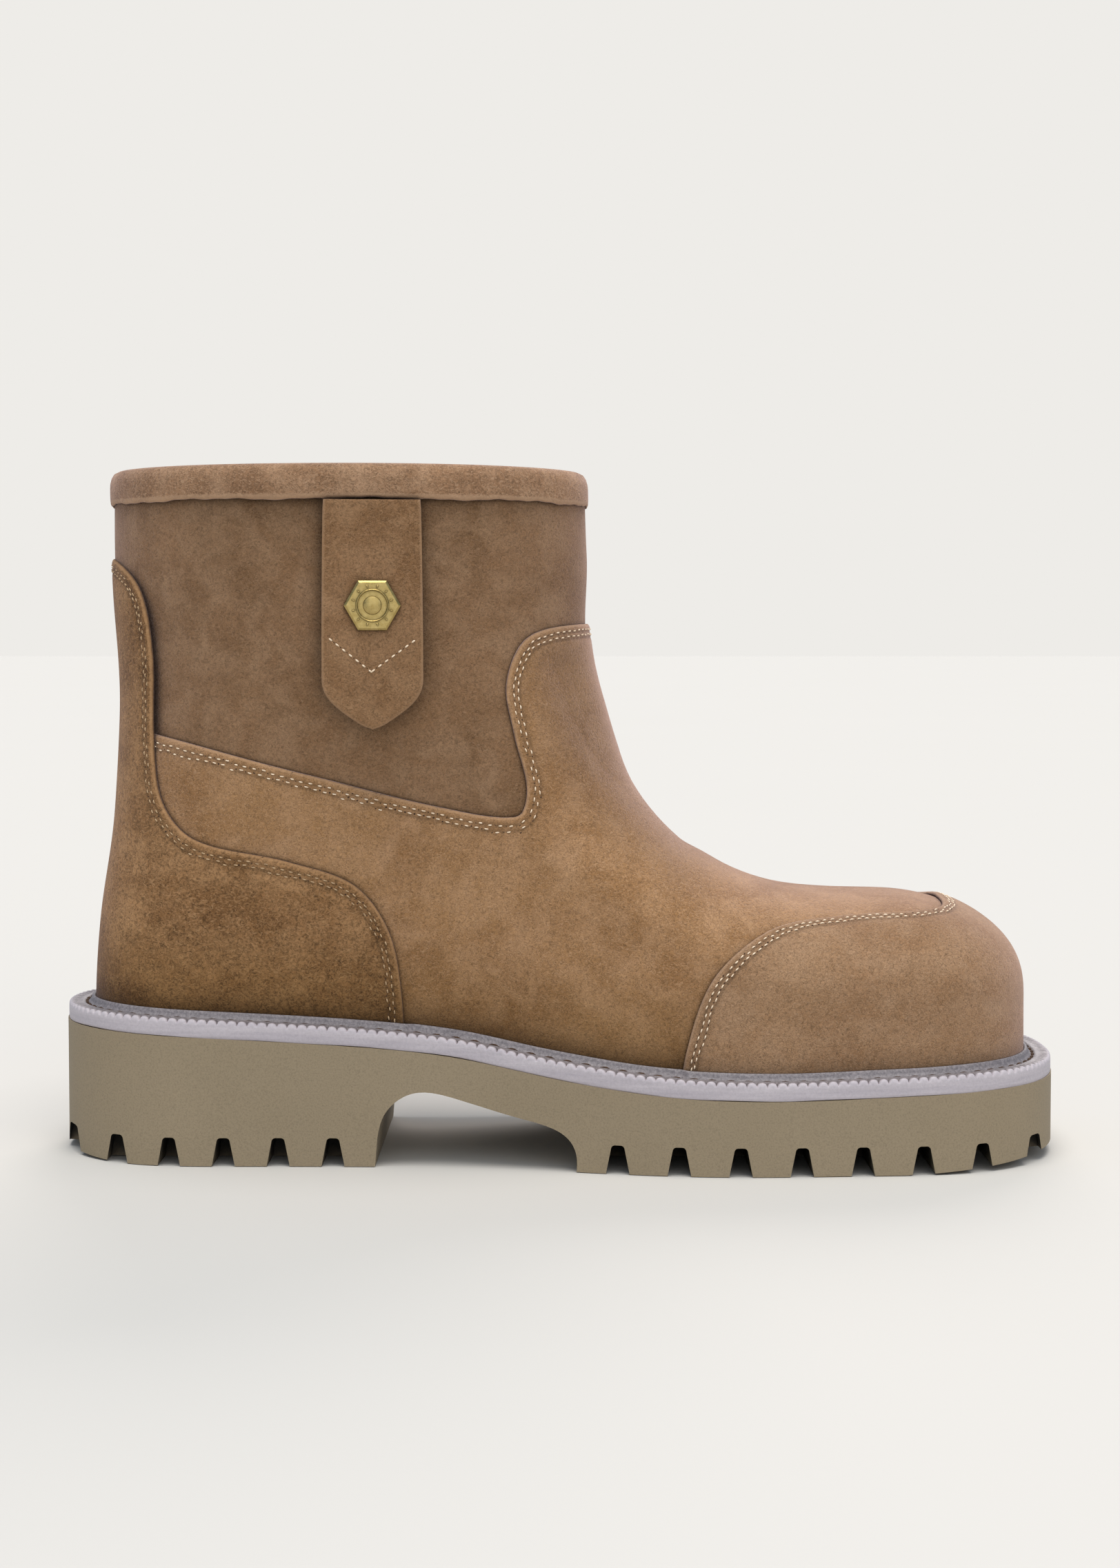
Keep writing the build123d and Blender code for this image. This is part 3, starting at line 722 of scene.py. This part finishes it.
panel("shaft_leather", 1.65, 1.4, lambda p: np.minimum(in_room(p), 7 - in_vamp(p)),
      [], SHAFT_SUEDE, "shaft", lift=2.3)
vamp = panel("vamp_leather", 0.05, 1.4, lambda p: np.minimum(in_room(p), in_vamp(p)),
             [VAMP_RUN], VAMP_SUEDE, "vamp", ankle_fold=1.5)
toe_cover = panel("toe_cover_leather", -1.7, 1.5, lambda p: np.minimum(in_room(p), in_toe(p)),
                  [TOE_RUN], COVER_SUEDE, "toe_cap_cover")
stay = panel("backstay_leather", -1.7, 1.5, lambda p: np.minimum(in_room(p), in_stay(p)),
             [STAY_RUN], STAY_SUEDE, "backstay")

stitch_rows("vamp_stitches", vamp, VAMP_RUN, (2.3, 4.25), 2.9, lambda p: -in_stay(p), THREAD)
stitch_rows("toe_stitches", toe_cover, TOE_RUN, (2.3, 4.2), 2.45, in_room, THREAD)
stitch_rows("backstay_stitches", stay, STAY_RUN, (2.5, 4.4), 2.7, in_room, TAN_THREAD)


# ---- rings round the boot ----------------------------------------------------------------
def sweep(name, profiles, material, body, attributes):
    """A ring-shaped piece from a grid: one closed profile of points per station."""
    stations, points, _ = profiles.shape
    faces = []
    for i in range(stations):
        for k in range(points):
            a, b = i * points + k, i * points + (k + 1) % points
            c, d = ((i + 1) % stations) * points + (k + 1) % points, ((i + 1) % stations) * points + k
            faces.append((a, b, c, d))
    piece = make_object(name, profiles.reshape(-1, 3), faces, material, body)
    for key, values in attributes.items():
        put_attribute(piece, key, values.reshape(-1))
    return piece


def sole_outline(depth, count):
    """Evenly spaced points round the plan at a depth, and the outward normals there."""
    back, front = through(BACK, 0) + depth, TOE_X - depth
    x = back + (front - back) * (1 - np.cos(np.linspace(0, np.pi, 3000))) / 2
    sides = [np.stack([x, middle(x) + side * half_width(x, 40, side, depth, True)], axis=1)
             for side in (-1, 1)]
    loop = np.concatenate([sides[0], sides[1][-2:0:-1], sides[0][:1]])
    lengths = np.concatenate([[0], np.cumsum(np.hypot(*np.diff(loop, axis=0).T))])
    at = lengths[-1] * np.arange(count) / count
    points = np.stack([np.interp(at, lengths, loop[:, k]) for k in (0, 1)], axis=1)
    way = np.roll(points, -3, axis=0) - np.roll(points, 3, axis=0)
    outward = np.stack([way[:, 1], -way[:, 0]], axis=1)
    return points, outward / np.linalg.norm(outward, axis=1)[:, None], lengths[-1]


def upper_inset(points, outward):
    """How far in from the sole's outline the leathers stand, just above the welt."""
    covered = np.where((points[:, 0] < -46) | (points[:, 0] > 36.5), -1.7, 0.05)
    near, far = np.zeros(len(points)), np.full(len(points), 16.0)
    for _ in range(24):
        mid = (near + far) / 2
        x, y = (points - outward * mid[:, None]).T
        z = through(WELT_LINE, x) + 1.2
        side = np.where(y < middle(x), -1, 1)
        out = half_width(x, z, side, covered) < np.abs(y - middle(x))
        near, far = np.where(out, mid, near), np.where(out, far, mid)
    kernel = np.hanning(13)
    kernel /= kernel.sum()
    padded = np.concatenate([near[-6:], near, near[:6]])
    return np.convolve(padded, kernel, "valid")


SCALLOPS, PER_SCALLOP = 246, 8
WELT_PROFILE = [  # how far in from the side, height over the welt line, how strongly the scallops cut it
    (0.0, -2.7, 0), (0.0, -2.1, 0), (0.0, -1.5, 0), (0.02, -1.0, 0.12), (0.12, -0.3, 0.8),
    (0.45, 0.12, 1), (1.1, 0.2, 1),
    (1.9, 0.16, 0.9), (2.7, 0.08, 0.55), (3.3, 0.0, 0.15), (3.9, 0.0, 0), (4.6, -0.02, 0), (4.85, -0.2, 0),
    (5.1, -0.55, 0), (5.7, -0.6, 0), (6.05, -0.3, 0), (6.25, 0.0, 0), (6.5, 0.1, 0), (6.75, 0.9, 0),
    (7.0, 1.5, 0), (7.35, 1.85, 0), (7.8, 1.8, 0), (8.1, 1.45, 0), (8.3, 0.4, 0), (9.6, 0.0, 0),
    (9.6, -2.68, 0),
]
outline, outward, around_sole = sole_outline(-SOLE_MARGIN, SCALLOPS * PER_SCALLOP)
inset = upper_inset(outline, outward)
phase = (np.arange(len(outline)) % PER_SCALLOP) / PER_SCALLOP
rng = np.random.default_rng(5)
wobble = np.repeat(rng.uniform(0.75, 1.15, SCALLOPS), PER_SCALLOP)
tooth = (1 - np.sqrt(np.clip(1 - (2 * phase - 1) ** 2, 0, 1))) * wobble
rings, tops = [], []
for deep, high, cut in WELT_PROFILE:
    inward = deep + (inset - 8.2) * ease(4.2, 6.0, deep) + 0.55 * cut * tooth * (deep < 1)
    spot = outline - outward * inward[:, None]
    z = through(WELT_LINE, spot[:, 0]) + high - 1.15 * cut * tooth
    rings.append(np.column_stack([spot, z]))
    tops.append(np.full(len(spot), ease(0.2, 1.6, deep)))
welt = sweep("milled_welt", np.stack(rings, axis=1), WELT, "boot",
             {"top": np.stack(tops, axis=1)})
welt.data.set_sharp_from_angle(angle=math.radians(62))
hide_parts("storm_welt")

MIDSOLE_PROFILE = [(0.0, -2.7), (0.0, -3.3), (0.0, -4.1), (0.0, -4.9), (0.1, -5.25), (0.4, -5.38),
                   (8.0, -5.38), (8.0, -2.7)]
station = np.arange(len(outline))
low_wave = 0.12 * np.sin(station * 0.021) + 0.08 * np.sin(station * 0.083 + 1)
rings = []
for deep, high in MIDSOLE_PROFILE:
    spot = outline - outward * deep
    z = through(WELT_LINE, spot[:, 0]) + high + low_wave * (high < -4.5)
    rings.append(np.column_stack([spot, z]))
midsole = sweep("midsole_band", np.stack(rings, axis=1), MIDSOLE, "boot",
                {"top": np.zeros((len(outline), len(MIDSOLE_PROFILE)))})
midsole.data.set_sharp_from_angle(angle=math.radians(50))
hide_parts("midsole")

# the welt's stitches lie in its groove, coloured with the dark needle-hole shade: thread darkened by painted
# groove shade
lock_threads = []
count = int(around_sole / 5.6)
spots, ways, _ = sole_outline(-SOLE_MARGIN, count)
insets = upper_inset(spots, ways)
for spot, way, gap_in in zip(spots, ways, insets):
    seat = spot - way * (5.4 + (gap_in - 8.2))
    z = float(through(WELT_LINE, seat[0]))
    tangent = Vector((-way[1], way[0], rng.uniform(-0.05, 0.05)))
    lock_threads.append((Vector((seat[0], seat[1], z - 0.42)), tangent, Vector((0, 0, 1))))
# dark beads: the welt thread with the stitch groove's shade painted on
place_beads("welt_stitches", lock_threads, (4.3, 1.15, 0.95), HOLE_SHADE, "boot")


BAND_STATIONS = 560


def level_ring(depth, z):
    """The upper's level section at one depth and height."""
    def inside(x):
        return half_width(x, z, -1, depth) > 0
    reach = np.arange(FAN[0], -160, -0.5)
    hits = inside(reach)
    front, back = reach[hits.argmax()], reach[len(hits) - 1 - hits[::-1].argmax()]
    ends = []
    for inner, outer in ((front, front + 0.5), (back, back - 0.5)):
        for _ in range(22):
            mid = (inner + outer) / 2
            inner, outer = (mid, outer) if inside(mid) else (inner, mid)
        ends.append(inner)
    turn = 2 * np.pi * np.arange(BAND_STATIONS) / BAND_STATIONS
    x = ends[0] + (ends[1] - ends[0]) * (1 - np.cos(turn)) / 2
    side = np.where(turn < np.pi, -1, 1)
    return np.stack([x, middle(x) + side * half_width(x, z, side, depth)], axis=1)


# the collar band's section as (depth, z), from its raw outer edge over the top to the turned-in edge
BAND_PROFILE = [(-0.9, 200.55), (-1.35, 200.7), (-1.65, 201.3), (-1.75, 202.4), (-1.8, 204.2), (-1.8, 206.0),
                (-1.7, 207.6), (-1.25, 209.2), (-0.5, 210.4), (0.8, 211.05), (2.2, 211.2), (3.6, 211.05),
                (4.9, 210.4), (5.7, 209.2), (6.1, 207.6), (6.15, 205.0), (6.05, 201.6), (5.6, 200.65),
                (5.0, 200.7), (4.85, 203.0), (4.7, 209.45), (0.0, 209.45), (-0.1, 203.0)]
turn = 2 * np.pi * np.arange(BAND_STATIONS) / BAND_STATIONS
raw_edge = 0.25 * np.sin(9 * turn + 1) + 0.16 * np.sin(23 * turn) + 0.1 * np.sin(57 * turn + 2)
rings, away = [], []
for deep, z in BAND_PROFILE:
    ring = level_ring(deep, z)
    near_edge = np.clip(1 - (z - 200.5) / 2.5, 0, 1) if deep < 0.5 else 0.0
    height = z + near_edge * raw_edge
    spot = np.column_stack([ring, height])
    spot[:, 1] += 0.18 * np.sin(5 * turn + z * 0.2) * (1 - near_edge)
    rings.append(spot)
    away.append(np.full(BAND_STATIONS, max(z - 201.4, 0.0) if deep < 3 else 30.0))
band = sweep("collar_leather", np.stack(rings, axis=1), BAND_SUEDE, "boot",
             {"edge": np.stack(away, axis=1), "low": np.full((BAND_STATIONS, len(BAND_PROFILE)), 40.0)})
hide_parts("collar_band")


# ---- pull tab and badge ------------------------------------------------------------------
TAB_X, TAB_TOP, TAB_LONG, TAB_LEATHER, TAB_STAND_OFF = -55.3, 200.2, 67.9, 1.7, 0.7
ALONG, OUTWARD = np.array([0.9961, 0.0881, 0]), np.array([0.0881, -0.9961, 0])
TAB_SEAT = np.array([TAB_X, middle(TAB_X) - half_width(TAB_X, TAB_TOP, -1, 1.65) - TAB_STAND_OFF, TAB_TOP])
BADGE_DOWN = 31.2  # from the tab's top to the badge's middle
# half widths of the tab by how far down it is
TAB_HALF = [(0, 14.3), (3, 14.5), (30, 14.9), (50, 15), (54.4, 14.9), (57.5, 13.9), (60.5, 11.6),
            (63.5, 8.0), (65.8, 4.6), (67.2, 2.2), (67.9, 0.0)]


def on_tab(across, down, out):
    """Points on the tab, from millimetres across it, down from its top and out from its back face."""
    across, down, out = np.broadcast_arrays(np.asarray(across, float), down, out)
    across, down, out = across[..., None], down[..., None], out[..., None]
    return TAB_SEAT + across * ALONG + out * OUTWARD - down * np.array([0, 0, 1.0])


def tab_leather(name, back, front, trim, node):
    downs = np.concatenate([np.linspace(0, 54, 90), 54 + 13.9 * np.sin(np.linspace(0, np.pi / 2, 60)[1:])])
    shorter = (TAB_LONG - trim) / TAB_LONG
    downs = downs * shorter
    spread = np.sin(np.linspace(-np.pi / 2, np.pi / 2, 49))
    half = np.maximum(through(TAB_HALF, np.minimum(downs / shorter, TAB_LONG)) - trim, 0.02)
    across = half[:, None] * spread[None, :]
    down = downs[:, None] + 0 * across
    rim = np.concatenate([np.column_stack([-half, downs]), np.column_stack([half, downs])[::-1]])
    tree = nearest_tree(resample(np.column_stack([rim, np.zeros(len(rim))]), 0.3))
    edge = np.array([[tree.find((a, d, 0))[2] for a, d in zip(ra, rd)] for ra, rd in zip(across, down)])
    round_off = 0.8 * (1 - np.sqrt(1 - np.clip(1 - edge / 1.1, 0, 1) ** 2 * 0.98))
    shape = on_tab(across, down, 0)
    swell = dents(shape, 3, 22, 0.16) * ease(0, 6, down) + 0.25 * ease(40, 68, down)
    outer = on_tab(across, down, front + swell - round_off)
    inner = on_tab(across, down, back + swell)
    points = np.concatenate([outer.reshape(-1, 3), inner.reshape(-1, 3)])
    piece = make_object(name, points, slab_faces(*across.shape), TAB_SUEDE, None)
    flat = edge.reshape(-1)
    put_attribute(piece, "edge", np.concatenate([np.where(flat < 1.2, flat, 30), 0 * flat]))
    put_attribute(piece, "low", np.full(2 * len(flat), 60.0))
    top = on_tab(0.0, 0.0, TAB_LEATHER)
    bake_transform(piece)
    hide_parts(node)
    return piece


tab_leather("tab_back_leather", 0.0, TAB_LEATHER, 0.4, "tab_backing")
tab_face = tab_leather("tab_front_leather", TAB_LEATHER + 0.05, 2 * TAB_LEATHER, 0.0, "tab_outer")
tree = tree_of(tab_face)
threads, holes = [], []
for start, end in (((-12.3, 41.3), (-0.6, 50.6)), ((0.2, 50.4), (12.1, 41.8))):
    start, end = np.array(start), np.array(end)
    count = 7
    for k in range(2 * count - 1):
        across, down = start + (end - start) * k / (2 * count - 2)
        seat, up, _, _ = tree.find_nearest(Vector(on_tab(across, down, 3.6)))
        way = on_tab(*end, 0.0) - on_tab(*start, 0.0)
        kind, rise = (threads, 0.12) if k % 2 == 0 else (holes, -0.08)
        kind.append((seat + Vector(OUTWARD) * rise, way, OUTWARD))
place_beads("tab_stitches", threads, (1.4, 0.52, 0.5), THREAD, "pull_tab")
# dark patches of painted needle-hole shade between the tab's stitches
place_beads("tab_stitch_hole_shade", holes, HOLE_SIZE, HOLE_SHADE, "pull_tab")


def badge():
    """A six-sided stud with a ring, a small dome and twelve ticks."""
    flats, base = 14.6 / 2, 2 * TAB_LEATHER + 0.1
    angles = np.radians(np.arange(0, 360, 3.75))
    corner = np.radians(60)
    hexagon = flats / np.cos(((angles + corner / 2) % corner) - corner / 2)
    levels = [(hexagon, 0.0), (hexagon, 0.95), (hexagon * 0.98, 1.12), (hexagon * 0.915, 1.36)]
    for radius, high in ((4.95, 1.36), (4.85, 1.7), (4.65, 1.82), (4.45, 1.7), (4.3, 1.26), (2.75, 1.26),
                         (2.6, 1.5), (2.0, 1.72), (1.0, 1.82)):
        levels.append((np.full(len(angles), radius), high))
    verts, faces = [], []
    across_turn = angles + np.radians(90)
    for radius, high in levels:
        across, down = radius * np.cos(across_turn), BADGE_DOWN + radius * np.sin(across_turn)
        verts.append(on_tab(across, down, base + high))
    verts = list(np.concatenate(verts)) + [on_tab(0.0, BADGE_DOWN, base + 1.85)]
    n = len(angles)
    for i in range(len(levels) - 1):
        for k in range(n):
            a, b = i * n + k, i * n + (k + 1) % n
            faces.append((a, b, b + n, a + n))
    last = (len(levels) - 1) * n
    faces += [(last + k, last + (k + 1) % n, len(verts) - 1) for k in range(n)]
    faces.append(tuple(range(n))[::-1])
    for k in range(12):
        turn = np.radians(30 * k + 15)
        way, side = np.array([np.cos(turn), np.sin(turn)]), np.array([-np.sin(turn), np.cos(turn)])
        start = len(verts)
        for high, shrink in ((1.3, 1.0), (1.68, 1.0), (1.78, 0.7)):
            for a, b in ((5.35, -0.2), (6.2, -0.2), (6.2, 0.2), (5.35, 0.2)):
                p = way * (5.775 + (a - 5.775) * shrink) + side * b * shrink
                verts.append(on_tab(p[0], BADGE_DOWN + p[1], base + high))
        for i in (0, 4):
            for c in range(4):
                a, b = start + i + c, start + i + (c + 1) % 4
                faces.append((a, b, b + 4, a + 4))
        faces.append((start + 8, start + 9, start + 10, start + 11))
        faces.append((start + 3, start + 2, start + 1, start))
    piece = make_object("badge_stud", verts, faces, BRASS, "pull_tab")
    piece.data.set_sharp_from_angle(angle=math.radians(24))
    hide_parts("badge")


badge()


# ---- inside and underneath ---------------------------------------------------------------
def tread():
    """The outsole's CAD mesh with flat cut faces and a side wall that shades as one smooth curve."""
    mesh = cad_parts["outsole"].data.copy()
    bm = bmesh.new()
    bm.from_mesh(mesh)
    bmesh.ops.remove_doubles(bm, verts=bm.verts, dist=2e-6)
    bm.to_mesh(mesh)
    bm.free()
    mesh.materials.clear()
    mesh.materials.append(RUBBER)
    mesh.shade_smooth()
    tree = nearest_tree(np.column_stack([outline, np.zeros(len(outline))]))
    normals = [None] * len(mesh.loops)
    for face in mesh.polygons:
        middle_point = face.center / MM
        wall = abs(face.normal.z) < 0.2 and tree.find((middle_point.x, middle_point.y, 0))[2] < 1.5
        for loop in face.loop_indices:
            spot = mesh.vertices[mesh.loops[loop].vertex_index].co / MM
            found = tree.find((spot.x, spot.y, 0))[1]
            normals[loop] = (outward[found][0], outward[found][1], 0) if wall else tuple(face.normal)
    mesh.normals_split_custom_set(normals)
    piece = bpy.data.objects.new("tread_sole", mesh)
    SCENE.objects.link(piece)
    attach(piece, "boot")
    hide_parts("outsole")


tread()


def footbed():
    """A moulded insole: rounded rim, shallow hollow, raised round the heel."""
    rows, columns, depth = 170, 61, 5.4
    back, front = through(BACK, 0) + depth, TOE_X - depth
    x = (back + (front - back) * (1 - np.cos(np.linspace(0.02, np.pi - 0.02, rows))) / 2)[:, None]
    u = np.sin(np.linspace(-np.pi / 2, np.pi / 2, columns))[None, :]
    side = np.where(u < 0, -1, 1)
    wide = half_width(x + 0 * u, 40, side + 0 * x, depth, True)
    y = middle(x) + np.abs(u) * side * wide
    rim = np.minimum(wide * (1 - np.abs(u)), np.minimum(x - back, front - x) + 0 * u)
    hollow = 1.6 * ease(0, 16, rim) * (0.6 + 0.4 * ease(-40, -120, x))
    round_off = 1.8 * (1 - np.sqrt(1 - np.clip(1 - rim / 2.2, 0, 1) ** 2 * 0.98))
    floor_line = through(WELT_LINE, x) + 0 * u
    top = floor_line + 7.4 - hollow - round_off
    upper = np.stack([x + 0 * u, y, top], axis=-1)
    lower = np.stack([x + 0 * u, y, floor_line + 2.5], axis=-1)
    points = np.concatenate([upper, lower]).reshape(-1, 3)
    piece = make_object("moulded_footbed", points, slab_faces(rows, columns), FOAM, "boot")
    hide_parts("footbed")


footbed()
LINING_SEAM, SEAM_GAP = 104.1, 0.1
panel("shaft_lining_leather", 3.45, 1.1,
      lambda p: np.minimum(in_room(p), p[..., 2] - LINING_SEAM - SEAM_GAP),
      [], LINING, "shaft_lining", coarse=2)
panel("foot_lining_textile", 3.45, 1.1,
      lambda p: np.minimum(in_room(p), LINING_SEAM - SEAM_GAP - p[..., 2]),
      [], TEXTILE, "foot_lining", coarse=2)
for node, material in (("steel_shank", STEEL), ("steel_toe_cap", CAP_STEEL), ("cork_filler", CORK),
                       ("toe_cap_bumper", BUMPER), ("heel_stiffener", BOARD), ("insole_board", BOARD),
                       ("badge_post", BRASS), ("badge_washer", BRASS)):
    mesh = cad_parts[node].data
    mesh.materials.clear()
    mesh.materials.append(material)


# ---- floor, light, camera ----------------------------------------------------------------
def floor():
    """A wide pale floor."""
    verts = [(x, y, -0.0002) for x, y in ((-60, -20), (60, -20), (60, 120), (-60, 120))]
    mesh = bpy.data.meshes.new("floor")
    mesh.from_pydata(verts, [], [(0, 1, 2, 3)])
    s = Shader("floor_paper", 0.95)
    s.paint(s.mix(s.noise(900, 1), (0.562, 0.544, 0.507, 1), (0.568, 0.55, 0.513, 1)))
    s.bsdf.inputs["Specular IOR Level"].default_value = 0.0
    mesh.materials.append(s.material)
    piece = bpy.data.objects.new("floor", mesh)
    SCENE.objects.link(piece)


def soft_sun(name, toward, strength, spread, tint):
    light = bpy.data.lights.new(name, "SUN")
    light.energy = strength
    light.angle = math.radians(spread)
    light.color = tint
    holder = bpy.data.objects.new(name, light)
    SCENE.objects.link(holder)
    holder.rotation_euler = Vector(toward).to_track_quat("-Z", "Y").to_euler()


PALE = colour(238, 236, 232)
floor()
world = bpy.data.worlds.new("studio")
world.use_nodes = True
nodes, links = world.node_tree.nodes, world.node_tree.links
seen = next(n for n in nodes if n.type == "BACKGROUND")
seen.inputs["Color"].default_value = PALE
fill = nodes.new("ShaderNodeBackground")
fill.inputs["Color"].default_value = (0.6, 0.75, 0.96, 1)
fill.inputs["Strength"].default_value = 0.52
pick = nodes.new("ShaderNodeMixShader")
links.new(nodes.new("ShaderNodeLightPath").outputs["Is Camera Ray"], pick.inputs["Fac"])
links.new(fill.outputs["Background"], pick.inputs[1])
links.new(seen.outputs["Background"], pick.inputs[2])
links.new(pick.outputs["Shader"], next(n for n in nodes if n.type == "OUTPUT_WORLD").inputs["Surface"])
bpy.context.scene.world = world
soft_sun("key_light", (-0.02, 0.2, -1.0), 2.75, 42, (1.0, 0.96, 0.91))
soft_sun("front_light", (-0.22, 1.0, -0.5), 0.85, 55, (1.0, 0.97, 0.93))
soft_sun("rim_light", (-0.12, -0.8, -0.55), 1.6, 35, (1.0, 0.92, 0.88))

camera = bpy.data.cameras.new("camera")
camera.lens = 58.0
camera.sensor_width = 36
camera.clip_start = 0.01
viewer = bpy.data.objects.new("camera", camera)
SCENE.objects.link(viewer)
viewer.location = (0.0004, -0.8, 0.155)
viewer.rotation_euler = (math.pi / 2 - math.atan2(41.5, 800), 0, 0)  # looks down to Z = 113.5 mm
bpy.context.scene.camera = viewer
bpy.context.scene.view_settings.view_transform = "Standard"
